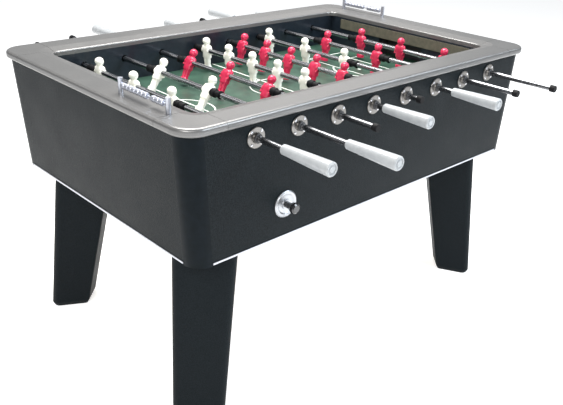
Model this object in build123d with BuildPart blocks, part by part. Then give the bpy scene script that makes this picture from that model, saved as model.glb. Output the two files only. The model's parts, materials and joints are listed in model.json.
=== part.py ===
"""Foosball table: cabinet on four splayed legs, eight sliding player rods, score counters.

Units are millimetres. X runs along the table, Y across it from the front (-Y) to the back (+Y),
Z up. The origin is on the floor under the middle of the table.
"""
from build123d import *
import math
import os

os.makedirs("parts", exist_ok=True)

# ---- driving dimensions: cabinet ----
table_length = 1422.0
table_width = 918.0
table_height = 856.0
rail_thickness = 22.0
rail_drop = 8.0
rail_corner_radius = 60.0
rail_seam = 118.0
rail_bevel = 34.0
rail_gap = 1.0
rail_top_round = 9.0
rail_under_round = 7.0
rail_inner_round = 5.0
opening_length = 1212.0
opening_width = 706.0
opening_radius = 34.0
cabinet_top_length = 1400.0
cabinet_bottom_length = 1353.0
cabinet_width = 890.0
cabinet_bottom = 501.0
panel_thickness = 18.0
post_radius = 50.0
post_dip = 9.0
trim_height = 5.0
trim_proud = 1.5
deck_thickness = 12.0
field_top = 724.0
floor_board_thickness = 15.0
floor_board_lift = 10.0

# ---- driving dimensions: legs ----
leg_top_centre = (535.0, 309.0)
leg_foot_centre = (603.0, 357.0)
leg_top_width = 184.0
leg_foot_width = 156.0
leg_top_depth = 164.0
leg_foot_depth = 118.0
leg_side_slope = 0.30
leg_wall = 16.0
leg_solid_height = 30.0
leg_outer_radius = 20.0
leg_inner_radius = 8.0
foot_clip_height = 14.0
foot_clip_inset = 5.0

# ---- driving dimensions: rods ----
rod_count = 8
rod_pitch = 142.2
rod_height = 795.0
rod_radius = 8.0
rod_wall = 2.0
running_gap = 0.05
wall_hole_gap = 2.5
handle_length = 153.0
handle_bore_depth = 112.0
cap_length = 16.0
cap_room = 10.0
cap_radius = 10.5
cap_skin = 3.0
stop_length = 40.5
stop_offset = 17.5
bumper_radius = 12.8
bumper_neck_radius = 9.6
bumper_end_radius = 11.8
# men on the rod: spacing between them, and distance from table centre to the handle's inner end
men_spacing = {2: 237.0, 3: 184.0, 5: 118.0}
handle_reach = {2: 646.0, 3: 614.0, 5: 541.0}
# each rod from the left: men, handle side, slide position and tilt of the men in degrees
rod_layout = [
    (3, -1, 74.0, 0.0),
    (2, -1, 38.0, 32.0),
    (3, 1, 12.0, 26.0),
    (5, -1, 57.0, -2.0),
    (5, 1, 38.0, 14.0),
    (3, -1, 106.0, -6.0),
    (2, 1, 21.0, 6.0),
    (3, 1, -87.0, -3.0),
]

# ---- driving dimensions: one player, heights from the rod axis ----
# each section: height, depth along the table, width along the rod, corner radius
man_torso = [(-18.0, 22.0, 30.0, 6.0), (2.0, 25.0, 34.0, 7.0), (16.0, 16.0, 24.0, 6.0)]
man_legs = [
    (-18.0, 22.0, 30.0, 6.0),
    (-46.0, 12.0, 20.0, 3.0),
    (-60.0, 17.0, 22.0, 3.0),
    (-65.0, 15.0, 20.0, 3.0),
]
man_width = 34.0
man_neck_radius = 6.5
man_neck_length = 7.0
man_head_radius = 12.5
man_head_height = 29.0

# ---- driving dimensions: bearings ----
flange_radius = 27.0
flange_thickness = 4.0
boss_radius = 14.0
boss_length = 5.0
sleeve_radius = 13.0
sleeve_inside = 8.0
nut_radius = 24.0
nut_thickness = 6.0
liner_radius = 10.5
liner_lip_radius = 12.2
liner_lip = 3.0
screw_circle = 22.0
screw_count = 4
screw_radius = 1.7
screw_head_radius = 3.6
screw_length = 12.0

# ---- driving dimensions: goals, counters, release ----
goal_width = 200.0
goal_height = 72.0
drop_slot_length = 36.0
drop_slot_width = 120.0
pocket_depth = 44.0
pocket_wall = 5.0
chute_inside = 44.0
chute_wall = 5.0
chute_side = 38.0
chute_drop = 18.0
cradle_length = 70.0
cradle_height = 45.0
outlet_width = 90.0
outlet_height = 70.0
outlet_z = 572.0
counter_x = 664.0
counter_start = {-1: 134.0, 1: 143.0}
counter_span = 200.0
counter_post_radius = 6.5
counter_post_height = 39.0
counter_post_sink = 10.0
counter_wire_radius = 2.5
counter_wire_height = 21.0
bead_radius = 7.6
bead_length = 15.2
bead_pitch = 15.8
left_bead_count = 7
left_moved_count = 3
right_bead_count = 4
right_moved_count = 6
right_bead_shift = 6.5
left_moved_room = 10.0
right_moved_room = 3.0
release_x = -392.0
release_z = 591.0
release_travel = 16.0
release_plate_radius = 37.0
release_plate_depth = 6.0
release_neck_radius = 8.5
pusher_rod_radius = 6.0
pusher_disc_radius = 12.0

# ---- derived sizes ----
rail_under = table_height - rail_thickness
opening_y = opening_width / 2
opening_x = opening_length / 2
cabinet_y = cabinet_width / 2
lean = (cabinet_top_length - cabinet_bottom_length) / 2 / (rail_under - cabinet_bottom)
chute_low = release_z - chute_inside / 2
chute_high = field_top - deck_thickness - chute_side - 2
pocket_x = opening_x + panel_thickness
housing_face = cabinet_y + flange_thickness + boss_length
liner_face = housing_face + running_gap + liner_lip


def end_x(height):
    """Outer face of the leaning end panel at a height."""
    return cabinet_bottom_length / 2 + lean * (height - cabinet_bottom)


def rod_x(index):
    return (index - (rod_count - 1) / 2) * rod_pitch


def stroke(men):
    """How far a rod slides each way before its rubber stop meets the side wall."""
    outer_man = (men - 1) / 2 * men_spacing[men]
    return opening_y - outer_man - stop_offset - stop_length


def men_places(men, centre):
    first = centre - (men - 1) / 2 * men_spacing[men]
    return [first + k * men_spacing[men] for k in range(men)]


def save(part, name):
    part.label = name
    export_step(part, f"parts/{name}.step")


def across(x, y, z):
    """Plane facing +Y, for round pieces that run across the table."""
    return Plane(origin=(x, y, z), x_dir=(1, 0, 0), z_dir=(0, 1, 0))


def tube_along_y(x, z, y_low, y_high, outer, inner=0.0):
    with BuildPart() as piece:
        with BuildSketch(across(x, y_low, z)):
            Circle(outer)
            if inner:
                Circle(inner, mode=Mode.SUBTRACT)
        extrude(amount=y_high - y_low)
    return piece.part


def turned(x, z, profile):
    """Solid of revolution about a line along Y; the profile is a list of (y, radius)."""
    with BuildPart() as piece:
        with BuildSketch(Plane(origin=(x, 0, z), x_dir=(0, 1, 0), z_dir=(1, 0, 0))):
            with BuildLine():
                Polyline(*profile, close=True)
            make_face()
        revolve(axis=Axis((x, 0, z), (0, 1, 0)))
    return piece.part


def slab(plane, outline, thickness):
    """Flat plate: an outline on a plane, thickened along the plane's normal."""
    with BuildPart() as piece:
        with BuildSketch(plane):
            with BuildLine():
                Polyline(*outline, close=True)
            make_face()
        extrude(amount=thickness)
    return piece.part


def lengthwise(y):
    """Upright plane facing +Y whose own axes are X and Z; plates on it run along the table."""
    return Plane(origin=(0, y, 0), x_dir=(-1, 0, 0), z_dir=(0, 1, 0))


def joined(pieces):
    """Pieces that touch, joined into one solid."""
    with BuildPart() as whole:
        for piece in pieces:
            add(piece)
    return whole.part


def group(pieces):
    """Separate solids kept side by side in one node."""
    return Compound(children=pieces)


# ---- top rail ----
def rail_ring():
    with BuildPart() as ring:
        with BuildSketch(Plane.XY.offset(rail_under)):
            RectangleRounded(table_length, table_width, rail_corner_radius)
            RectangleRounded(opening_length, opening_width, opening_radius, mode=Mode.SUBTRACT)
        extrude(amount=rail_thickness)
        with BuildSketch(Plane.XY.offset(table_height - rail_drop)):
            RectangleRounded(opening_length, opening_width, opening_radius)
        with BuildSketch(Plane.XY.offset(table_height)):
            RectangleRounded(
                opening_length + 2 * rail_bevel,
                opening_width + 2 * rail_bevel,
                opening_radius + rail_bevel / 2,
            )
        loft(mode=Mode.SUBTRACT)
        outer = ring.faces().sort_by(Axis.Z)[0].outer_wire().edges()
        fillet(outer, rail_under_round)
        top = ring.faces().filter_by(Plane.XY).sort_by(Axis.Z)[-1]
        fillet(top.outer_wire().edges(), rail_top_round)
        rim = ring.edges().filter_by(lambda e: abs(e.center().Z - table_height + rail_drop) < 0.01)
        fillet(rim, rail_inner_round)
    return ring.part


def rail_pieces():
    """Four corner pieces and the four straight rails between them."""
    ring = rail_ring()
    seam_x = table_length / 2 - rail_seam
    seam_y = table_width / 2 - rail_seam
    reach = 2 * rail_seam
    spans = []
    for sx in (-1, 1):
        for sy in (-1, 1):
            spans.append((sx * (seam_x + reach / 2), sy * (seam_y + reach / 2), reach, reach))
    for sy in (-1, 1):
        spans.append((0, sy * (seam_y + reach / 2), 2 * seam_x - 2 * rail_gap, reach))
    for sx in (-1, 1):
        spans.append((sx * (seam_x + reach / 2), 0, reach, 2 * seam_y - 2 * rail_gap))
    pieces = []
    for x, y, dx, dy in spans:
        with BuildPart() as piece:
            add(ring)
            with Locations((x, y, rail_under + rail_thickness / 2)):
                Box(dx, dy, 3 * rail_thickness, mode=Mode.INTERSECT)
        pieces.append(piece.part)
    return pieces


# ---- cabinet shell ----
def side_panel(side):
    """Front or back panel with its rod holes; the back one also has the ball outlet."""
    top_half = end_x(rail_under) - post_radius
    bottom_half = end_x(cabinet_bottom) - post_radius
    inner_y = side * (cabinet_y - panel_thickness / 2)
    with BuildPart() as panel:
        with BuildSketch(across(0, inner_y - panel_thickness / 2, 0)):
            with BuildLine():
                Polyline(
                    (-bottom_half, -cabinet_bottom),
                    (bottom_half, -cabinet_bottom),
                    (top_half, -rail_under),
                    (-top_half, -rail_under),
                    close=True,
                )
            make_face()
        extrude(amount=panel_thickness)
        with BuildSketch(across(0, inner_y - panel_thickness / 2, rod_height)):
            with Locations(*[(rod_x(i), 0) for i in range(rod_count)]):
                Circle(sleeve_radius)
        extrude(amount=panel_thickness, mode=Mode.SUBTRACT)
        if side < 0:
            with BuildSketch(across(release_x, inner_y - panel_thickness / 2, release_z)):
                Circle(release_neck_radius + 0.5)
            extrude(amount=panel_thickness, mode=Mode.SUBTRACT)
        else:
            with Locations((release_x, inner_y, outlet_z)):
                Box(outlet_width, panel_thickness, outlet_height, mode=Mode.SUBTRACT)
    return panel.part


def end_panel(side):
    """Leaning end panel between the corner posts."""
    low = side * end_x(cabinet_bottom)
    high = side * end_x(rail_under)
    half = cabinet_y - post_radius
    with BuildPart() as panel:
        with BuildSketch(Plane(origin=(0, -half, 0), x_dir=(1, 0, 0), z_dir=(0, -1, 0))):
            with BuildLine():
                Polyline(
                    (low, cabinet_bottom),
                    (high, rail_under),
                    (high - side * panel_thickness, rail_under),
                    (low - side * panel_thickness, cabinet_bottom),
                    close=True,
                )
            make_face()
        extrude(amount=-2 * half)
    return panel.part


def corner_post(sx, sy):
    """Quarter-round post that leans with the end panel and reaches below the panels."""
    def section(height):
        centre_x = sx * (end_x(height) - post_radius)
        centre_y = sy * (cabinet_y - post_radius)
        outer = post_radius
        inner = post_radius - panel_thickness
        middle = math.sqrt(0.5)
        with BuildSketch(Plane.XY.offset(height)) as profile:
            with BuildLine():
                outer_end = (centre_x, centre_y + sy * outer)
                inner_end = (centre_x, centre_y + sy * inner)
                outer_start = (centre_x + sx * outer, centre_y)
                inner_start = (centre_x + sx * inner, centre_y)
                outer_mid = (centre_x + sx * outer * middle, centre_y + sy * outer * middle)
                inner_mid = (centre_x + sx * inner * middle, centre_y + sy * inner * middle)
                ThreePointArc(outer_start, outer_mid, outer_end)
                Line(outer_end, inner_end)
                ThreePointArc(inner_end, inner_mid, inner_start)
                Line(inner_start, outer_start)
            make_face()
        return profile.sketch
    with BuildPart() as post:
        add(section(cabinet_bottom - post_dip))
        add(section(rail_under))
        loft(ruled=True)
    return post.part


def trim_strips():
    """Thin metal strips along the bottom edges of the four panels."""
    low = cabinet_bottom - trim_height
    depth = panel_thickness + trim_proud
    front_half = end_x(cabinet_bottom) - post_radius - 1
    end_half = cabinet_y - post_radius - 1
    strips = []
    for side in (-1, 1):
        with BuildPart() as strip:
            with Locations((0, side * (cabinet_y + trim_proud - depth / 2), low)):
                Box(2 * front_half, depth, trim_height, align=(Align.CENTER, Align.CENTER, Align.MIN))
        strips.append(strip.part)
        with BuildPart() as strip:
            with Locations((side * (end_x(cabinet_bottom) + trim_proud - depth / 2), 0, low)):
                Box(depth, 2 * end_half, trim_height, align=(Align.CENTER, Align.CENTER, Align.MIN))
        strips.append(strip.part)
    return strips


# ---- boards inside the cabinet ----
def deck():
    """Play-field board, let into the cabinet, with a drop slot behind each goal."""
    low = field_top - deck_thickness
    half_x = end_x(low) - panel_thickness - 1
    half_y = cabinet_y - panel_thickness
    slot_x = (opening_x + panel_thickness + half_x) / 2
    with BuildPart() as board:
        with BuildSketch(Plane.XY.offset(low)):
            Rectangle(2 * half_x, 2 * half_y)
            chamfer(vertices(), post_radius)
            with Locations((-slot_x, 0), (slot_x, 0)):
                Rectangle(drop_slot_length, drop_slot_width, mode=Mode.SUBTRACT)
        extrude(amount=deck_thickness)
    return board.part


def inner_walls():
    """Walls of the play area: two long ones drilled for the rods, two ends with a goal mouth."""
    height = rail_under - field_top
    middle_z = field_top + height / 2
    walls = []
    for side in (-1, 1):
        with BuildPart() as wall:
            with Locations((0, side * (opening_y + panel_thickness / 2), middle_z)):
                Box(opening_length + 2 * panel_thickness, panel_thickness, height)
            drill_start = side * (opening_y + panel_thickness / 2) - panel_thickness
            with BuildSketch(across(0, drill_start, rod_height)):
                with Locations(*[(rod_x(i), 0) for i in range(rod_count)]):
                    Circle(rod_radius + wall_hole_gap)
            extrude(amount=2 * panel_thickness, mode=Mode.SUBTRACT)
        walls.append(wall.part)
        with BuildPart() as wall:
            with Locations((side * (opening_x + panel_thickness / 2), 0, middle_z)):
                Box(panel_thickness, opening_width, height)
            with Locations((side * (opening_x + panel_thickness / 2), 0, field_top)):
                Box(
                    2 * panel_thickness,
                    goal_width,
                    goal_height,
                    align=(Align.CENTER, Align.CENTER, Align.MIN),
                    mode=Mode.SUBTRACT,
                )
        walls.append(wall.part)
    return walls


def floor_board():
    """Bottom board of the cabinet; the legs are bolted to it from below."""
    low = cabinet_bottom + floor_board_lift
    half_x = end_x(low) - panel_thickness - 1
    half_y = cabinet_y - panel_thickness
    with BuildPart() as board:
        with BuildSketch(Plane.XY.offset(low)):
            Rectangle(2 * half_x, 2 * half_y)
            chamfer(vertices(), post_radius)
        extrude(amount=floor_board_thickness)
    return board.part


# ---- ball return ----

def ball_pocket(side):
    """Open-bottomed catcher behind a goal mouth, standing on the deck around its slot."""
    height = goal_height + 6
    with BuildPart() as pocket:
        with Locations((side * (pocket_x + pocket_depth / 2), 0, field_top + height / 2)):
            Box(pocket_depth, goal_width + 2 * pocket_wall, height)
        with Locations((side * (pocket_x + (pocket_depth - pocket_wall) / 2), 0, field_top)):
            Box(
                pocket_depth - pocket_wall,
                goal_width,
                height - pocket_wall,
                align=(Align.CENTER, Align.CENTER, Align.MIN),
                mode=Mode.SUBTRACT,
            )
    return pocket.part


def ramp(start_x, start_z, finish_x, finish_z):
    """Sloping U-shaped trough under the deck: a floor and two upright sides."""
    def plate(top, y_low, thickness):
        outline = [
            (-start_x, start_z),
            (-finish_x, finish_z),
            (-finish_x, finish_z + top),
            (-start_x, start_z + top),
        ]
        return slab(lengthwise(y_low), outline, thickness)
    half = chute_inside / 2
    bottom = plate(chute_wall, -half - chute_wall, chute_inside + 2 * chute_wall)
    front = plate(chute_side, -half - chute_wall, chute_wall)
    back = plate(chute_side, half, chute_wall)
    return joined([bottom, front, back])


def ball_cradle():
    """Box where both ramps meet, open to the pusher in front and to the outlet chute behind."""
    half = chute_inside / 2
    standing = (Align.CENTER, Align.CENTER, Align.MIN)
    sill = 8.0
    with BuildPart() as cradle:
        with Locations((release_x, 0, chute_low - chute_wall)):
            Box(cradle_length, chute_inside + 2 * chute_wall, cradle_height, align=standing)
        with Locations((release_x, 0, chute_low)):
            Box(cradle_length, chute_inside, cradle_height, align=standing, mode=Mode.SUBTRACT)
        with Locations((release_x, half + chute_wall / 2, chute_low + sill)):
            Box(chute_inside, 2 * chute_wall, cradle_height, align=standing, mode=Mode.SUBTRACT)
        with BuildSketch(across(release_x, -half - chute_wall - 1, release_z)):
            Circle(pusher_rod_radius + 1)
        extrude(amount=chute_wall + 2, mode=Mode.SUBTRACT)
    return cradle.part


def outlet_chute():
    """Trough from the cradle to the outlet in the back panel."""
    y_low = chute_inside / 2 + chute_wall
    y_high = cabinet_y - panel_thickness
    half = chute_inside / 2

    def plate(x_low, thickness, top):
        outline = [
            (y_low, chute_low),
            (y_high, chute_low - chute_drop),
            (y_high, chute_low - chute_drop + top),
            (y_low, chute_low + top),
        ]
        return slab(Plane(origin=(x_low, 0, 0), x_dir=(0, 1, 0), z_dir=(1, 0, 0)), outline, thickness)
    bottom = plate(release_x - half - chute_wall, chute_inside + 2 * chute_wall, chute_wall)
    left = plate(release_x - half - chute_wall, chute_wall, chute_side)
    right = plate(release_x + half, chute_wall, chute_side)
    return joined([bottom, left, right])


# ---- legs ----
def leg_section(sx, sy, height, inset, outer_radius, inner_radius):
    """Level section: a trapezoid with its wide side facing out along the corner diagonal."""
    t = height / cabinet_bottom
    x = leg_foot_centre[0] + t * (leg_top_centre[0] - leg_foot_centre[0])
    y = leg_foot_centre[1] + t * (leg_top_centre[1] - leg_foot_centre[1])
    width = leg_foot_width + t * (leg_top_width - leg_foot_width)
    depth = leg_foot_depth + t * (leg_top_depth - leg_foot_depth)
    half_depth = depth / 2 - inset
    side_inset = inset * math.hypot(1, leg_side_slope)
    outer = width / 2 - leg_side_slope * inset - side_inset
    inner = outer - 2 * leg_side_slope * half_depth

    def place(out, lateral):
        return sx * (x + (out + lateral) * math.sqrt(0.5)), sy * (y + (out - lateral) * math.sqrt(0.5))
    corners = [
        place(half_depth, outer),
        place(half_depth, -outer),
        place(-half_depth, -inner),
        place(-half_depth, inner),
    ]
    with BuildSketch(Plane.XY.offset(height)) as profile:
        Polygon(*corners, align=None)
        outward = vertices().sort_by(lambda v: -(sx * v.X + sy * v.Y))
        fillet(outward[:2], outer_radius)
        inward = vertices().sort_by(lambda v: sx * v.X + sy * v.Y)
        fillet(inward[:2], inner_radius)
    return profile.sketch


def leg(sx, sy):
    """Tapered, splayed leg: a box open at the top, with its flat outer face square to the diagonal."""
    top = cabinet_bottom + floor_board_lift
    outside = (leg_outer_radius, leg_inner_radius)
    hollow = (leg_outer_radius - leg_wall + 2, leg_inner_radius - 4)
    with BuildPart() as shell:
        add(leg_section(sx, sy, foot_clip_height, 0, *outside))
        add(leg_section(sx, sy, top, 0, *outside))
        loft(ruled=True)
        add(leg_section(sx, sy, 0, foot_clip_inset, *outside))
        add(leg_section(sx, sy, foot_clip_height, 0, *outside))
        loft(ruled=True)
        add(leg_section(sx, sy, leg_solid_height, leg_wall, *hollow))
        add(leg_section(sx, sy, top, leg_wall, *hollow))
        loft(ruled=True, mode=Mode.SUBTRACT)
    return shell.part


# ---- bearings ----
def bearing(index, side):
    """Flanged housing pushed through the panel, and the ring nut on its inner end."""
    x = rod_x(index)
    face = side * cabinet_y
    inside = side * (cabinet_y - panel_thickness)
    bore = liner_radius + running_gap
    profile = [
        (inside - side * sleeve_inside, bore),
        (inside - side * sleeve_inside, sleeve_radius),
        (face, sleeve_radius),
        (face, flange_radius),
        (face + side * flange_thickness * 0.6, flange_radius),
        (face + side * flange_thickness, flange_radius - 1.2),
        (face + side * flange_thickness, boss_radius),
        (side * housing_face, boss_radius - 1.5),
        (side * housing_face, bore),
    ]
    with BuildPart() as housing:
        add(turned(x, rod_height, profile))
        with BuildSketch(across(x, min(face, face + side * flange_thickness), rod_height)):
            with PolarLocations(screw_circle, screw_count, start_angle=45):
                Circle(screw_radius)
        extrude(amount=flange_thickness, mode=Mode.SUBTRACT)
    nut = [
        (inside, sleeve_radius + running_gap),
        (inside - side * nut_thickness, sleeve_radius + running_gap),
        (inside - side * nut_thickness, nut_radius),
        (inside, nut_radius),
    ]
    return [housing.part, turned(x, rod_height, nut)]


def bearing_screws(index, side):
    """Domed screws through the flange into the panel."""
    face = side * cabinet_y
    head = face + side * flange_thickness
    screws = []
    for k in range(screw_count):
        angle = math.radians(45 + 360 * k / screw_count)
        x = rod_x(index) + screw_circle * math.cos(angle)
        z = rod_height + screw_circle * math.sin(angle)
        profile = [
            (face - side * screw_length, 0),
            (face - side * screw_length, screw_radius),
            (head, screw_radius),
            (head, screw_head_radius),
            (head + side * 1.0, screw_head_radius - 0.4),
            (head + side * 1.8, 1.6),
            (head + side * 2.0, 0),
        ]
        screws.append(turned(x, z, profile))
    return screws


def liner(index, side):
    """Nylon liner that turns in the housing while the rod slides through it."""
    inside = cabinet_y - panel_thickness - sleeve_inside
    bore = rod_radius + running_gap
    profile = [
        (side * inside, bore),
        (side * inside, liner_radius),
        (side * (housing_face + running_gap), liner_radius),
        (side * (housing_face + running_gap), liner_lip_radius),
        (side * (liner_face - 0.8), liner_lip_radius),
        (side * liner_face, liner_lip_radius - 1),
        (side * liner_face, bore),
    ]
    return turned(rod_x(index), rod_height, profile)


# ---- rods ----
def cap_end(men):
    """Distance from the table centre to the cap's outer end, clear of the bearing at full stroke."""
    return liner_face + stroke(men) + cap_room + cap_length


def steel_rod(index):
    men, side, slide = rod_layout[index][:3]
    low = slide - side * (cap_end(men) - cap_skin)
    high = slide + side * (handle_reach[men] + handle_bore_depth)
    y_low, y_high = min(low, high), max(low, high)
    return tube_along_y(rod_x(index), rod_height, y_low, y_high, rod_radius, rod_radius - rod_wall)


def handle(index):
    """Long grip that widens towards its ringed flat end."""
    men, side, slide = rod_layout[index][:3]
    start = handle_reach[men]

    def at(distance):
        return slide + side * (start + distance)
    profile = [
        (at(0), rod_radius),
        (at(0), 11.0),
        (at(2), 12.5),
        (at(handle_length * 0.5), 15.4),
        (at(handle_length - 14), 17.4),
        (at(handle_length - 3), 17.6),
        (at(handle_length), 15.6),
        (at(handle_length), 12.6),
        (at(handle_length - 2), 11.6),
        (at(handle_length - 2), 8.6),
        (at(handle_length), 7.6),
        (at(handle_length), 0),
        (at(handle_bore_depth), 0),
        (at(handle_bore_depth), rod_radius),
    ]
    return turned(rod_x(index), rod_height, profile)


def rubber_stops(index):
    """End cap and the two bumpers that meet the side walls."""
    men, side, slide = rod_layout[index][:3]
    outer_man = (men - 1) / 2 * men_spacing[men]
    end = slide - side * cap_end(men)
    cap = [
        (end, 0),
        (end, cap_radius - 1.5),
        (end + side * 1.5, cap_radius),
        (end + side * cap_length, cap_radius),
        (end + side * cap_length, rod_radius),
        (end + side * cap_skin, rod_radius),
        (end + side * cap_skin, 0),
    ]
    pieces = [turned(rod_x(index), rod_height, cap)]
    for way in (-1, 1):
        near = slide + way * (outer_man + stop_offset)
        far = near + way * stop_length
        bumper = [
            (near, rod_radius),
            (near, bumper_radius - 1.4),
            (near + way * 3, bumper_radius),
            (near + way * 16, bumper_radius),
            (near + way * 19, bumper_radius - 1.4),
            (near + way * 19.5, bumper_neck_radius),
            (far - way * 5, bumper_neck_radius),
            (far - way * 4, bumper_end_radius),
            (far - way * 1, bumper_end_radius),
            (far, bumper_end_radius - 0.6),
            (far, rod_radius),
        ]
        pieces.append(turned(rod_x(index), rod_height, bumper))
    return pieces


def player():
    """One player around the rod axis, head up: its axis is the local Y axis."""
    with BuildPart() as man:
        for height, depth, width, radius in man_torso:
            with BuildSketch(Plane.XY.offset(height)):
                RectangleRounded(depth, width, radius)
        loft()
        for height, depth, width, radius in man_legs:
            with BuildSketch(Plane.XY.offset(height)):
                RectangleRounded(depth, width, radius)
        loft()
        with BuildSketch(Plane.XY.offset(man_torso[-1][0])):
            Circle(man_neck_radius)
        extrude(amount=man_neck_length)
        with Locations((0, 0, man_head_height)):
            Sphere(man_head_radius)
        with BuildSketch(across(0, -man_width, 0)):
            Circle(rod_radius)
        extrude(amount=2 * man_width, mode=Mode.SUBTRACT)
    return man.part


def men_on_rod(index, man):
    men = rod_layout[index][0]
    slide = rod_layout[index][2]
    tilt = rod_layout[index][3]
    with BuildPart() as team:
        for y in men_places(men, slide):
            with Locations(Location((rod_x(index), y, rod_height), (0, tilt, 0))):
                add(man)
    return team.part


# ---- score counters ----
def counter_frame(end):
    """Two posts on the end rail with a wire between them."""
    x = end * counter_x
    base = table_height - counter_post_sink
    near = counter_start[end]
    far = near + counter_span
    with BuildPart() as frame:
        for distance in (near, far):
            with BuildSketch(Plane.XY.offset(base)):
                with Locations((x, end * distance)):
                    Circle(counter_post_radius)
            extrude(amount=counter_post_height + counter_post_sink)
        wire_start = min(end * near, end * far)
        with BuildSketch(across(x, wire_start, table_height + counter_wire_height)):
            Circle(counter_wire_radius)
        extrude(amount=counter_span)
    return frame.part


def beads(end, count, start):
    """Row of beads on a counter wire; start is measured from the table centre outwards."""
    x = end * counter_x
    z = table_height + counter_wire_height
    pieces = []
    for k in range(count):
        low = start + k * bead_pitch
        high = low + bead_length
        middle = (low + high) / 2
        profile = [
            (end * low, counter_wire_radius + running_gap),
            (end * low, bead_radius - 1.5),
            (end * (low + 1.5), bead_radius),
            (end * middle, bead_radius + 0.4),
            (end * (high - 1.5), bead_radius),
            (end * high, bead_radius - 1.5),
            (end * high, counter_wire_radius + running_gap),
        ]
        pieces.append(turned(x, z, profile))
    return pieces


# ---- ball release ----
def release_plate():
    """Round dished plate with a raised collar around the push rod."""
    face = -cabinet_y
    hole = release_neck_radius + 0.5
    profile = [
        (face, hole),
        (face, release_plate_radius),
        (face - release_plate_depth / 2, release_plate_radius),
        (face - release_plate_depth, release_plate_radius - 3),
        (face - release_plate_depth + 1, release_plate_radius - 9),
        (face - 2.5, release_plate_radius - 13),
        (face - 2.5, hole + 5),
        (face - release_plate_depth, hole + 4),
        (face - release_plate_depth, hole),
    ]
    return turned(release_x, release_z, profile)


def release_knob():
    """Knob, push rod and the pusher disc that rests in front of a waiting ball."""
    face = -cabinet_y
    disc = -chute_inside / 2 + 1
    back = face - release_plate_depth - release_travel - 3
    profile = [
        (back - 18, 0),
        (back - 18, 10),
        (back - 15, 13.8),
        (back - 8, 15),
        (back - 2, 13),
        (back, release_neck_radius),
        (face - 2, release_neck_radius),
        (face - 2, pusher_rod_radius),
        (disc, pusher_rod_radius),
        (disc, pusher_disc_radius),
        (disc + 3, pusher_disc_radius),
        (disc + 3, 0),
    ]
    return turned(release_x, release_z, profile)


save(group(rail_pieces()), "top_rails")
save(side_panel(-1), "front_panel")
save(side_panel(1), "back_panel")
save(group([end_panel(-1), end_panel(1)]), "end_panels")
save(group([corner_post(sx, sy) for sx in (-1, 1) for sy in (-1, 1)]), "corner_posts")
save(group(trim_strips()), "bottom_trim")
save(deck(), "playfield")
save(group(inner_walls()), "inner_walls")
save(floor_board(), "bottom_board")
return_pieces = [ball_pocket(-1), ball_pocket(1), ball_cradle(), outlet_chute()]
return_pieces.append(ramp(pocket_x + 30, chute_high, release_x + 36, chute_low))
return_pieces.append(ramp(-pocket_x - 30, chute_high, release_x - 36, chute_low))
save(group(return_pieces), "ball_return")
save(group([leg(sx, sy) for sx in (-1, 1) for sy in (-1, 1)]), "legs")

housings = []
screws = []
for i in range(rod_count):
    for s in (-1, 1):
        housings += bearing(i, s)
        screws += bearing_screws(i, s)
save(group(housings), "bearing_housings")
save(group(screws), "bearing_screws")

man_shape = player()
for i in range(rod_count):
    save(steel_rod(i), f"rod_{i + 1}")
    save(men_on_rod(i, man_shape), f"men_{i + 1}")
    save(handle(i), f"handle_{i + 1}")
    save(group(rubber_stops(i)), f"stops_{i + 1}")
    save(group([liner(i, -1), liner(i, 1)]), f"liners_{i + 1}")

save(group([counter_frame(-1), counter_frame(1)]), "score_counters")
first_bead = counter_post_radius + 1
last_post = counter_span - counter_post_radius
left_first = counter_start[-1] + first_bead
left_moved = counter_start[-1] + last_post - left_moved_room - left_moved_count * bead_pitch
right_first = counter_start[1] + first_bead + right_bead_shift
right_moved = counter_start[1] + last_post - right_moved_room - right_moved_count * bead_pitch
save(group(beads(-1, left_bead_count, left_first)), "left_beads")
save(group(beads(-1, left_moved_count, left_moved)), "left_beads_moved")
save(group(beads(1, right_bead_count, right_first)), "right_beads")
save(group(beads(1, right_moved_count, right_moved)), "right_beads_moved")
save(release_plate(), "release_plate")
save(release_knob(), "release_knob")
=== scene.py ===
"""Looks for the foosball table: camera, light, materials and the detailed pieces on the fixed frame."""
import json
import math

import bmesh
import bpy
from mathutils import Matrix, Vector


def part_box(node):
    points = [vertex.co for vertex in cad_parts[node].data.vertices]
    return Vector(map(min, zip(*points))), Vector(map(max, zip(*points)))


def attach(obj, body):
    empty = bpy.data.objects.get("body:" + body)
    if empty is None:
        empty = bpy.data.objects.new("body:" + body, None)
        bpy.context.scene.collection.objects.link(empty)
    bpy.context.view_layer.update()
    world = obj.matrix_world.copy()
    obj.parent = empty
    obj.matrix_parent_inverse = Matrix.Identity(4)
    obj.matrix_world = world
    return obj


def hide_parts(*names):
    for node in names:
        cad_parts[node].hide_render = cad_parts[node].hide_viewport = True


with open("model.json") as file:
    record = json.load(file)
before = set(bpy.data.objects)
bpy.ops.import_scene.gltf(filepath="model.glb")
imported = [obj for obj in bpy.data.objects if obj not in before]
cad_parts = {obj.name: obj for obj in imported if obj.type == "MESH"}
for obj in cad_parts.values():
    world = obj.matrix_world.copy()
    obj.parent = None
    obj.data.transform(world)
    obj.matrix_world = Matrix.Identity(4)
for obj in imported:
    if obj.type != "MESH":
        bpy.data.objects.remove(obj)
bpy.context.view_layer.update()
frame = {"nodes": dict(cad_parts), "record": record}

# ---- camera: metres, radians, millimetres for the lens, shift as a part of the width ----
CAMERA_PLACE = (-1.5454, -1.6241, 1.3800)
CAMERA_YAW = 0.77832
CAMERA_PITCH = 0.44450
CAMERA_ROLL = 0.04497
CAMERA_SENSOR = 36.0
CAMERA_LENS = 45.5857
CAMERA_SHIFT = -0.01087
CAMERA_NEAR = 0.05

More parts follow.
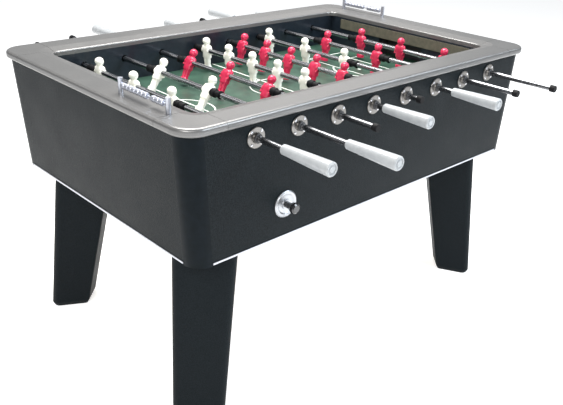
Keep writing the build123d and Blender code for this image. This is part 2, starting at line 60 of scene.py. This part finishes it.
# ---- studio ----
SKY_COLOR = (0.90, 0.95, 1.0, 1.0)
SKY_STRENGTH = 0.30
FLOOR_REACH = 12.0
FLOOR_WHITE = (0.90, 0.90, 0.90)
FLOOR_ROUGH = 0.9
FLOOR_GLOW = 0.62
LIGHT_TARGET = (0.0, 0.0, 0.8)
# place, size, power, colour
LIGHTS = {
    "overhead": ((0.2, 0.5, 3.2), (2.2, 1.6), 205.0, (1.0, 0.98, 0.95)),
    "front_left": ((-2.9, -1.6, 2.6), (1.2, 1.2), 64.0, (1.0, 0.98, 0.94)),
    "front_right": ((1.2, -3.0, 2.6), (1.6, 1.0), 84.0, (0.84, 0.92, 1.0)),
    "glint": ((-1.9, -2.6, 2.3), (0.3, 0.3), 14.0, (1.0, 1.0, 1.0)),
    "rear_right": ((2.7, 2.7, 2.4), (2.4, 0.9), 9.0, (1.0, 0.95, 0.92)),
    "rear_left": ((-1.8, 2.6, 2.8), (1.4, 0.8), 8.0, (1.0, 0.97, 0.94)),
    "edge_front": ((2.4, -1.7, 2.8), (1.6, 0.8), 38.0, (0.80, 0.90, 1.0)),
}

# ---- rods, left to right: number of players, degrees they lean at rest, side of the handle ----
RODS = (
    (3, 0.0, -1),
    (2, 32.0, -1),
    (3, 26.0, 1),
    (5, -2.0, -1),
    (5, 14.0, 1),
    (3, -6.0, -1),
    (2, 6.0, 1),
    (3, -3.0, 1),
)
TEAM_SLOT = {-1: "men_white", 1: "men_red"}

# ---- players, in mm about the rod axis, head up and facing +X ----
MM = 0.001
MAN_HALF_WIDTH = 17.0 * MM
MAN_SMOOTH_ANGLE = 50.0
BODY_SIDES = 28
LEG_SIDES = 18
ARM_SIDES = 12
BALL_ROWS = 18
# sections, lowest first: height, depth, width, superellipse power
TORSO = (
    (-25.0, 17.0, 28.0, 2.6),
    (-24.5, 21.0, 33.5, 2.6),
    (-22.0, 22.5, 34.5, 2.6),
    (-10.0, 23.0, 33.0, 2.6),
    (-3.0, 24.0, 31.5, 2.6),
    (4.0, 25.0, 34.0, 2.6),
    (9.0, 24.5, 38.5, 2.6),
    (13.5, 21.5, 38.5, 2.6),
    (16.5, 17.0, 32.0, 2.4),
    (18.5, 14.0, 21.0, 2.2),
    (22.5, 13.0, 15.5, 2.0),
)
LEG = (
    (-54.0, 14.0, 12.0, 2.6),
    (-46.0, 12.5, 11.2, 2.4),
    (-37.0, 15.0, 12.8, 2.4),
    (-31.0, 14.5, 13.0, 2.4),
    (-23.0, 18.0, 15.0, 2.6),
)
LEG_SPREAD = 6.3
FOOT = (
    (-65.0, 15.0, 21.0, 4.0),
    (-64.0, 18.5, 25.0, 4.0),
    (-54.0, 19.5, 26.0, 4.0),
    (-51.5, 17.0, 24.5, 3.6),
    (-50.0, 12.0, 21.0, 3.0),
)
ARM = ((0.0, 16.2, 11.0), (3.0, 17.6, 0.0), (9.0, 16.0, -12.0))
ARM_RADII = (4.8, 5.0, 4.4, 4.1, 3.6)
# barrel round the rod: place along the rod, radius
HUB = ((-17.1, 10.6), (-16.4, 11.4), (16.4, 11.4), (17.1, 10.6))
# half sizes and centre
HEAD = ((12.6, 12.0, 12.8), (0.0, 0.0, 29.5))
HAIR = ((13.0, 12.7, 11.6), (-1.2, 0.0, 32.0))

# ---- field markings and the panels above the goals, in metres ----
WALL_THICKNESS = 0.018
LINE_WIDTH = 0.005
LINE_LIFT = 0.0003
CIRCLE_RADIUS = 0.096
# distance of the front line from the middle of the field, half width
BIG_BOX = (0.336, 0.209)
SMALL_BOX = (0.476, 0.131)
SPOT_X = 0.385
SPOT_RADIUS = 0.006
SPOT_SIDES = 20
ARC_RADIUS = 0.090
CIRCLE_STEPS = 64
ARC_STEPS = 24
FASCIA_LOW = 0.791
FASCIA_HIGH = 0.828
FASCIA_HALF = 0.300
FASCIA_THICKNESS = 0.004
FASCIA_ROUND = 0.0012


# ---- camera and studio ----
def make_camera():
    data = bpy.data.cameras.new("camera")
    data.sensor_width = CAMERA_SENSOR
    data.lens = CAMERA_LENS
    data.shift_x = CAMERA_SHIFT
    data.clip_start = CAMERA_NEAR
    camera = bpy.data.objects.new("camera", data)
    forward = Vector((
        math.sin(CAMERA_YAW) * math.cos(CAMERA_PITCH),
        math.cos(CAMERA_YAW) * math.cos(CAMERA_PITCH),
        -math.sin(CAMERA_PITCH),
    ))
    right = Vector((math.cos(CAMERA_YAW), -math.sin(CAMERA_YAW), 0.0))
    up = right.cross(forward)
    rolled_right = right * math.cos(CAMERA_ROLL) + up * math.sin(CAMERA_ROLL)
    rolled_up = up * math.cos(CAMERA_ROLL) - right * math.sin(CAMERA_ROLL)
    turn = Matrix((rolled_right, rolled_up, -forward)).transposed().to_4x4()
    camera.matrix_world = Matrix.Translation(CAMERA_PLACE) @ turn
    bpy.context.collection.objects.link(camera)
    bpy.context.scene.camera = camera


def area_light(name, place, size, power, color):
    """Rectangular light that faces the table."""
    data = bpy.data.lights.new(name, "AREA")
    data.shape = "RECTANGLE"
    data.size, data.size_y = size
    data.energy = power
    data.color = color
    lamp = bpy.data.objects.new(name, data)
    lamp.location = place
    aim = Vector(LIGHT_TARGET) - Vector(place)
    lamp.rotation_euler = aim.to_track_quat("-Z", "Y").to_euler()
    bpy.context.collection.objects.link(lamp)


def make_floor():
    """Level white floor that glows a little, so that its far parts stay white."""
    reach = FLOOR_REACH
    corners = [(-reach, -reach, 0), (reach, -reach, 0), (reach, reach, 0), (-reach, reach, 0)]
    mesh = bpy.data.meshes.new("floor")
    mesh.from_pydata(corners, [], [(0, 1, 2, 3)])
    floor = bpy.data.objects.new("floor", mesh)
    bpy.context.collection.objects.link(floor)
    paper = plain("floor", FLOOR_WHITE, FLOOR_ROUGH, level=0.0)
    shader_input(paper, "Emission Color").default_value = (1.0, 1.0, 1.0, 1.0)
    shader_input(paper, "Emission Strength").default_value = FLOOR_GLOW
    floor.data.materials.append(paper)


def make_studio():
    """White floor, pale surroundings and seven soft lights."""
    bpy.context.scene.view_settings.view_transform = "Standard"
    world = bpy.data.worlds.new("studio")
    bpy.context.scene.world = world
    world.use_nodes = True
    sky = world.node_tree.nodes["Background"]
    sky.inputs["Color"].default_value = SKY_COLOR
    sky.inputs["Strength"].default_value = SKY_STRENGTH
    for name, (place, size, power, color) in LIGHTS.items():
        area_light(name, place, size, power, color)
    make_floor()


# ---- material helpers ----
NOISE = "ShaderNodeTexNoise"
VORONOI = "ShaderNodeTexVoronoi"
TEXTURE_OUTPUT = {NOISE: "Fac", VORONOI: "Distance"}
EVEN = (1.0, 1.0, 1.0)
COAT_ROUGH = 0.08


def shader_input(mat, name):
    return mat.node_tree.nodes["Principled BSDF"].inputs[name]


def plain(name, color, rough, metal=0.0, coat=0.0, level=0.5):
    """Material with nothing varied yet."""
    mat = bpy.data.materials.new(name)
    mat.use_nodes = True
    shader_input(mat, "Base Color").default_value = (*color, 1.0)
    shader_input(mat, "Roughness").default_value = rough
    shader_input(mat, "Metallic").default_value = metal
    shader_input(mat, "Coat Weight").default_value = coat
    shader_input(mat, "Coat Roughness").default_value = COAT_ROUGH
    shader_input(mat, "Specular IOR Level").default_value = level
    return mat


def texture(mat, kind, scale, detail=3.0, stretch=EVEN):
    """Procedural texture on the table's own coordinates; returns its value output."""
    nodes = mat.node_tree.nodes
    links = mat.node_tree.links
    place = nodes.new("ShaderNodeTexCoord")
    mapping = nodes.new("ShaderNodeMapping")
    mapping.inputs["Scale"].default_value = stretch
    links.new(place.outputs["Object"], mapping.inputs["Vector"])
    tex = nodes.new(kind)
    tex.inputs["Scale"].default_value = scale
    if kind == NOISE:
        tex.inputs["Detail"].default_value = detail
    links.new(mapping.outputs["Vector"], tex.inputs["Vector"])
    return tex.outputs[TEXTURE_OUTPUT[kind]]


def vary_color(mat, value, low, high, start=0.3, stop=0.7):
    """Colour that runs from low to high while the value runs from start to stop."""
    ramp = mat.node_tree.nodes.new("ShaderNodeValToRGB")
    first, last = ramp.color_ramp.elements
    first.position = start
    first.color = (*low, 1.0)
    last.position = stop
    last.color = (*high, 1.0)
    mat.node_tree.links.new(value, ramp.inputs["Fac"])
    mat.node_tree.links.new(ramp.outputs["Color"], shader_input(mat, "Base Color"))


def vary_rough(mat, value, low, high):
    span = mat.node_tree.nodes.new("ShaderNodeMapRange")
    span.inputs["To Min"].default_value = low
    span.inputs["To Max"].default_value = high
    mat.node_tree.links.new(value, span.inputs["Value"])
    mat.node_tree.links.new(span.outputs["Result"], shader_input(mat, "Roughness"))


def add_bump(mat, value, distance, strength=1.0):
    bump = mat.node_tree.nodes.new("ShaderNodeBump")
    bump.inputs["Strength"].default_value = strength
    bump.inputs["Distance"].default_value = distance
    mat.node_tree.links.new(value, bump.inputs["Height"])
    mat.node_tree.links.new(bump.outputs["Normal"], shader_input(mat, "Normal"))


# ---- materials ----
def speckled_laminate(name, dark, light, rough, level):
    """Black laminate with a pebbled face and faint lighter specks."""
    mat = plain(name, dark, rough, level=level)
    pebbles = texture(mat, VORONOI, scale=420.0)
    specks = texture(mat, NOISE, scale=378.0, detail=2.0)
    patches = texture(mat, NOISE, scale=9.0, detail=4.0)
    vary_color(mat, specks, dark, light, start=0.35, stop=0.75)
    vary_rough(mat, patches, low=rough - 0.06, high=rough + 0.08)
    add_bump(mat, pebbles, distance=0.0005, strength=0.8)
    return mat


def satin_rail():
    """Silver-grey laminate: a fine grain, and wide softer and glossier patches."""
    dark = (0.150, 0.148, 0.147)
    light = (0.196, 0.194, 0.192)
    mat = plain("rail_silver", light, rough=0.32, metal=0.55)
    grain = texture(mat, NOISE, scale=700.0, detail=2.0)
    patches = texture(mat, NOISE, scale=14.0, detail=5.0)
    skin = texture(mat, NOISE, scale=900.0, detail=2.0)
    vary_color(mat, grain, dark, light)
    vary_rough(mat, patches, low=0.26, high=0.40)
    add_bump(mat, skin, distance=0.00008)
    return mat


def moulded(name, low, high, rough, coat=0.0, level=0.5):
    """Moulded plastic with faint flow mottling and a fine skin."""
    mat = plain(name, high, rough, coat=coat, level=level)
    mottling = texture(mat, NOISE, scale=60.0, detail=4.0)
    patches = texture(mat, NOISE, scale=40.0, detail=4.0)
    skin = texture(mat, NOISE, scale=1200.0, detail=2.0)
    vary_color(mat, mottling, low, high)
    vary_rough(mat, patches, low=rough * 0.8, high=rough * 1.25)
    add_bump(mat, skin, distance=0.00005)
    return mat


def polished_metal(name, color, low, high, grain=EVEN):
    """Metal whose gloss and surface change a little along the grain."""
    mat = plain(name, color, low, metal=1.0)
    streaks = texture(mat, NOISE, scale=120.0, detail=3.0, stretch=grain)
    waves = texture(mat, NOISE, scale=220.0, detail=2.0, stretch=grain)
    vary_rough(mat, streaks, low, high)
    add_bump(mat, waves, distance=0.000004)
    return mat


def printed_field():
    """Green printed board under a thin varnish."""
    dark = (0.014, 0.044, 0.029)
    light = (0.027, 0.073, 0.048)
    mat = plain("field_green", light, rough=0.42, coat=0.06)
    clouds = texture(mat, NOISE, scale=26.0, detail=6.0)
    patches = texture(mat, NOISE, scale=18.0, detail=4.0)
    skin = texture(mat, NOISE, scale=420.0, detail=3.0)
    vary_color(mat, clouds, dark, light, start=0.35, stop=0.65)
    vary_rough(mat, patches, low=0.38, high=0.48)
    add_bump(mat, skin, distance=0.00006)
    return mat


def particle_board():
    """Raw board with visible chips."""
    dark = (0.20, 0.14, 0.085)
    light = (0.42, 0.32, 0.21)
    mat = plain("board_raw", light, rough=0.8)
    chips = texture(mat, VORONOI, scale=320.0)
    fibres = texture(mat, NOISE, scale=260.0, detail=4.0)
    vary_color(mat, chips, dark, light, start=0.1, stop=0.9)
    add_bump(mat, fibres, distance=0.0004)
    return mat


# darkest and lightest colour, roughness, gloss level
LAMINATES = {
    "panel_black": ((0.002, 0.004, 0.005), (0.012, 0.016, 0.019), 0.44, 0.07),
    "leg_black": ((0.005, 0.0075, 0.009), (0.011, 0.0145, 0.0175), 0.46, 0.06),
}
# darkest and lightest colour, roughness, clear coat, gloss level
PLASTICS = {
    "post_black": ((0.0015, 0.004, 0.0055), (0.003, 0.006, 0.009), 0.36, 0.0, 0.08),
    "wall_dark": ((0.007, 0.011, 0.017), (0.012, 0.018, 0.026), 0.35, 0.2, 0.3),
    "return_plastic": ((0.020, 0.020, 0.022), (0.035, 0.035, 0.038), 0.5, 0.0, 0.5),
    "knob_black": ((0.008, 0.008, 0.009), (0.014, 0.014, 0.016), 0.22, 0.5, 0.5),
    "men_white": ((0.96, 0.945, 0.85), (1.0, 0.985, 0.91), 0.34, 0.2, 0.5),
    "men_red": ((0.50, 0.014, 0.058), (0.62, 0.024, 0.085), 0.34, 0.2, 0.5),
    "handle_silver": ((0.30, 0.315, 0.328), (0.355, 0.37, 0.383), 0.34, 0.2, 0.5),
    "stop_rubber": ((0.004, 0.004, 0.005), (0.008, 0.008, 0.009), 0.60, 0.0, 0.15),
    "liner_nylon": ((0.018, 0.018, 0.020), (0.030, 0.030, 0.032), 0.45, 0.0, 0.5),
    "line_white": ((0.62, 0.66, 0.62), (0.74, 0.76, 0.72), 0.4, 0.0, 0.5),
    # fascia_olive: the panels are silver-grey boards; this dark olive colour paints in the shade they sit
    # in (painted shade)
    "fascia_olive": ((0.080, 0.078, 0.058), (0.12, 0.112, 0.082), 0.42, 0.0, 0.5),
}
# colour, lowest and highest roughness, grain
METALS = {
    "trim_silver": ((0.44, 0.45, 0.49), 0.26, 0.36, (1.0, 1.0, 8.0)),
    # bearing_chrome: the dark brownish colour paints in the dark room reflected by the flanges (painted
    # reflection)
    "bearing_chrome": ((0.21, 0.20, 0.19), 0.24, 0.34, EVEN),
    "screw_steel": ((0.62, 0.62, 0.64), 0.25, 0.40, EVEN),
    "counter_chrome": ((0.56, 0.58, 0.64), 0.32, 0.40, EVEN),
    "plate_silver": ((0.42, 0.43, 0.45), 0.34, 0.46, EVEN),
    # rod_steel: the darkened colour paints in the dark panels and surroundings reflected by the rods
    # (painted reflection)
    "rod_steel": ((0.31, 0.315, 0.33), 0.21, 0.27, (1.0, 0.1, 1.0)),
    "bead_chrome": ((0.52, 0.54, 0.61), 0.36, 0.44, EVEN),
}


def make_materials():
    made = {
        "rail_silver": satin_rail(),
        "field_green": printed_field(),
        "board_raw": particle_board(),
    }
    for makes, table in ((speckled_laminate, LAMINATES), (moulded, PLASTICS), (polished_metal, METALS)):
        for name, values in table.items():
            made[name] = makes(name, *values)
    return made


def finish_frame(materials):
    """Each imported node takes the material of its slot."""
    slots = {}
    for part in frame["record"]["subparts"]:
        slots[part["node"]] = part["material_slot"]
    for name, node in frame["nodes"].items():
        mat = materials[slots[name]]
        if not node.material_slots:
            node.data.materials.append(mat)
        for place in node.material_slots:
            place.link = "OBJECT"
            place.material = mat


# ---- mesh helpers ----
SMOOTH_ANGLE = 40.0


def new_piece(name, mesh, slot, body):
    piece = bpy.data.objects.new(name, mesh)
    bpy.context.collection.objects.link(piece)
    piece.data.materials.append(MATERIALS[slot])
    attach(piece, body)
    return piece


def mesh_from(bm, name, smooth_angle=SMOOTH_ANGLE):
    """Mesh with smooth faces and sharp edges beyond the angle, in degrees."""
    mesh = bpy.data.meshes.new(name)
    bmesh.ops.recalc_face_normals(bm, faces=bm.faces)
    bm.to_mesh(mesh)
    bm.free()
    mesh.polygons.foreach_set("use_smooth", [True] * len(mesh.polygons))
    mesh.set_sharp_from_angle(angle=math.radians(smooth_angle))
    return mesh


def rounded_ring(section, count, shift_y=0.0):
    """Superellipse outline in a level plane."""
    height, depth, width, power = section
    points = []
    for k in range(count):
        angle = 2 * math.pi * k / count
        c, s = math.cos(angle), math.sin(angle)
        x = math.copysign(abs(c) ** (2 / power), c) * depth / 2
        y = math.copysign(abs(s) ** (2 / power), s) * width / 2 + shift_y
        points.append((x, y, height))
    return points


def loft(bm, rings):
    """Closed skin through rings of equal count."""
    rows = [[bm.verts.new(p) for p in ring] for ring in rings]
    count = len(rows[0])
    for low, high in zip(rows, rows[1:]):
        for k in range(count):
            bm.faces.new((low[k], low[(k + 1) % count], high[(k + 1) % count], high[k]))
    bm.faces.new(list(reversed(rows[0])))
    bm.faces.new(rows[-1])


def tube(bm, points, radii, count):
    """Closed round tube through the points, with its own radius at each."""
    rings = []
    for k, point in enumerate(points):
        before = Vector(points[max(0, k - 1)])
        after = Vector(points[min(len(points) - 1, k + 1)])
        turn = (after - before).to_track_quat("Z", "Y")
        ring = []
        for j in range(count):
            angle = 2 * math.pi * j / count
            offset = Vector((radii[k] * math.cos(angle), radii[k] * math.sin(angle), 0.0))
            ring.append(Vector(point) + turn @ offset)
        rings.append(ring)
    loft(bm, rings)


def ball(bm, half_sizes, centre):
    """Ellipsoid."""
    made = bmesh.ops.create_uvsphere(bm, u_segments=BODY_SIDES, v_segments=BALL_ROWS, radius=1.0)
    for vert in made["verts"]:
        vert.co = Vector([c * half + middle for c, half, middle in zip(vert.co, half_sizes, centre)])


def box_into(bm, low, high):
    corners = [(x, y, z) for z in (low[2], high[2]) for y in (low[1], high[1]) for x in (low[0], high[0])]
    v = [bm.verts.new(c) for c in corners]
    for quad in ((0, 2, 3, 1), (4, 5, 7, 6), (0, 1, 5, 4), (2, 6, 7, 3), (0, 4, 6, 2), (1, 3, 7, 5)):
        bm.faces.new([v[i] for i in quad])


# ---- players ----
def halfway(a, b):
    return tuple((p + q) / 2 for p, q in zip(a, b))


def arm_and_leg(bm, way):
    loft(bm, [rounded_ring(section, LEG_SIDES, way * LEG_SPREAD) for section in LEG])
    shoulder, elbow, hand = [(x, way * y, z) for x, y, z in ARM]
    spine = [shoulder, halfway(shoulder, elbow), elbow, halfway(elbow, hand), hand]
    tube(bm, spine, ARM_RADII, ARM_SIDES)


def player_mesh():
    """One player about the rod axis."""
    bm = bmesh.new()
    loft(bm, [rounded_ring(section, BODY_SIDES) for section in TORSO])
    for way in (-1, 1):
        arm_and_leg(bm, way)
    loft(bm, [rounded_ring(section, BODY_SIDES) for section in FOOT])
    tube(bm, [(0, y, 0) for y, radius in HUB], [radius for y, radius in HUB], BODY_SIDES)
    ball(bm, *HEAD)
    ball(bm, *HAIR)
    for vert in bm.verts:
        vert.co *= MM
    bmesh.ops.recalc_face_normals(bm, faces=bm.faces)
    mesh = bpy.data.meshes.new("player")
    bm.to_mesh(mesh)
    bm.free()
    return mesh


def make_men(number, pattern):
    """The players of one rod, spread evenly between the outer two of the frame's node."""
    count, tilt, handle_side = RODS[number - 1]
    node = f"men_{number}"
    low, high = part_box(node)
    rod_low, rod_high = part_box(f"rod_{number}")
    x = (rod_low[0] + rod_high[0]) / 2
    z = (rod_low[2] + rod_high[2]) / 2
    first = low[1] + MAN_HALF_WIDTH
    last = high[1] - MAN_HALF_WIDTH
    lean = Matrix.Rotation(math.radians(tilt), 4, "Y")
    facing = Matrix.Rotation(math.pi if handle_side > 0 else 0.0, 4, "Z")
    bm = bmesh.new()
    for k in range(count):
        y = first + (last - first) * k / (count - 1)
        copy = pattern.copy()
        copy.transform(Matrix.Translation((x, y, z)) @ lean @ facing)
        bm.from_mesh(copy)
        bpy.data.meshes.remove(copy)
    mesh = mesh_from(bm, node + "_detail", MAN_SMOOTH_ANGLE)
    piece = new_piece(f"players_{number}", mesh, TEAM_SLOT[handle_side], f"rod_{number}")
    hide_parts(node)


def make_all_men():
    pattern = player_mesh()
    for number in range(1, len(RODS) + 1):
        make_men(number, pattern)
    bpy.data.meshes.remove(pattern)


# ---- field markings ----
def strip(bm, x0, y0, x1, y1, z):
    """Straight line on the field between two corners."""
    box_into(bm, (min(x0, x1), min(y0, y1), z), (max(x0, x1), max(y0, y1), z + LINE_LIFT))


def arc_line(bm, cx, radius, start, stop, z, count):
    """Curved line about a point on the field's long axis."""
    outer = radius + LINE_WIDTH
    for k in range(count):
        a = start + (stop - start) * k / count
        b = start + (stop - start) * (k + 1) / count
        ring = []
        for height in (z, z + LINE_LIFT):
            for r, t in ((radius, a), (outer, a), (outer, b), (radius, b)):
                ring.append(bm.verts.new((cx + r * math.cos(t), r * math.sin(t), height)))
        bm.faces.new(ring[4:8])
        bm.faces.new((ring[0], ring[1], ring[5], ring[4]))
        bm.faces.new((ring[2], ring[3], ring[7], ring[6]))


def spot(bm, cx, z):
    """Penalty spot."""
    rows = []
    for height in (z, z + LINE_LIFT):
        row = []
        for k in range(SPOT_SIDES):
            angle = 2 * math.pi * k / SPOT_SIDES
            place = (cx + SPOT_RADIUS * math.cos(angle), SPOT_RADIUS * math.sin(angle), height)
            row.append(bm.verts.new(place))
        rows.append(row)
    low, high = rows
    bm.faces.new(high)
    for k in range(SPOT_SIDES):
        after = (k + 1) % SPOT_SIDES
        bm.faces.new((low[k], low[after], high[after], high[k]))


def goal_markings(bm, side, goal_x, z):
    """The two boxes, the spot and its arc at one end."""
    for front, half_width in (BIG_BOX, SMALL_BOX):
        back = front + LINE_WIDTH
        strip(bm, side * front, -half_width, side * back, half_width, z)
        for way in (-1, 1):
            strip(bm, side * back, way * half_width, side * goal_x, way * (half_width - LINE_WIDTH), z)
    facing = math.pi if side > 0 else 0.0
    spread = math.acos((SPOT_X - BIG_BOX[0]) / (ARC_RADIUS + LINE_WIDTH))
    arc_line(bm, side * SPOT_X, ARC_RADIUS, facing - spread, facing + spread, z, ARC_STEPS)
    spot(bm, side * SPOT_X, z)


def make_field_lines():
    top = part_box("playfield")[1][2]
    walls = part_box("inner_walls")
    goal_x = walls[1][0] - WALL_THICKNESS
    side_y = walls[1][1] - WALL_THICKNESS
    bm = bmesh.new()
    strip(bm, -LINE_WIDTH / 2, -side_y, LINE_WIDTH / 2, side_y, top)
    arc_line(bm, 0.0, CIRCLE_RADIUS, 0.0, 2 * math.pi, top, CIRCLE_STEPS)
    for side in (-1, 1):
        goal_markings(bm, side, goal_x, top)
    new_piece("field_lines", mesh_from(bm, "field_lines"), "line_white", "table")


# ---- panels above the goals ----
def make_fascia(name, side):
    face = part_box("inner_walls")[1][0] - WALL_THICKNESS
    x0, x1 = sorted((side * face, side * (face - FASCIA_THICKNESS)))
    bm = bmesh.new()
    box_into(bm, (x0, -FASCIA_HALF, FASCIA_LOW), (x1, FASCIA_HALF, FASCIA_HIGH))
    bmesh.ops.bevel(bm, geom=list(bm.edges), offset=FASCIA_ROUND, segments=2, affect="EDGES")
    # the dark olive colour is painted shade on a silver-grey board
    new_piece(name, mesh_from(bm, name), "fascia_olive", "table")


make_camera()
make_studio()
MATERIALS = make_materials()
finish_frame(MATERIALS)
make_all_men()
make_field_lines()
make_fascia("fascia_left", -1)
make_fascia("fascia_right", 1)
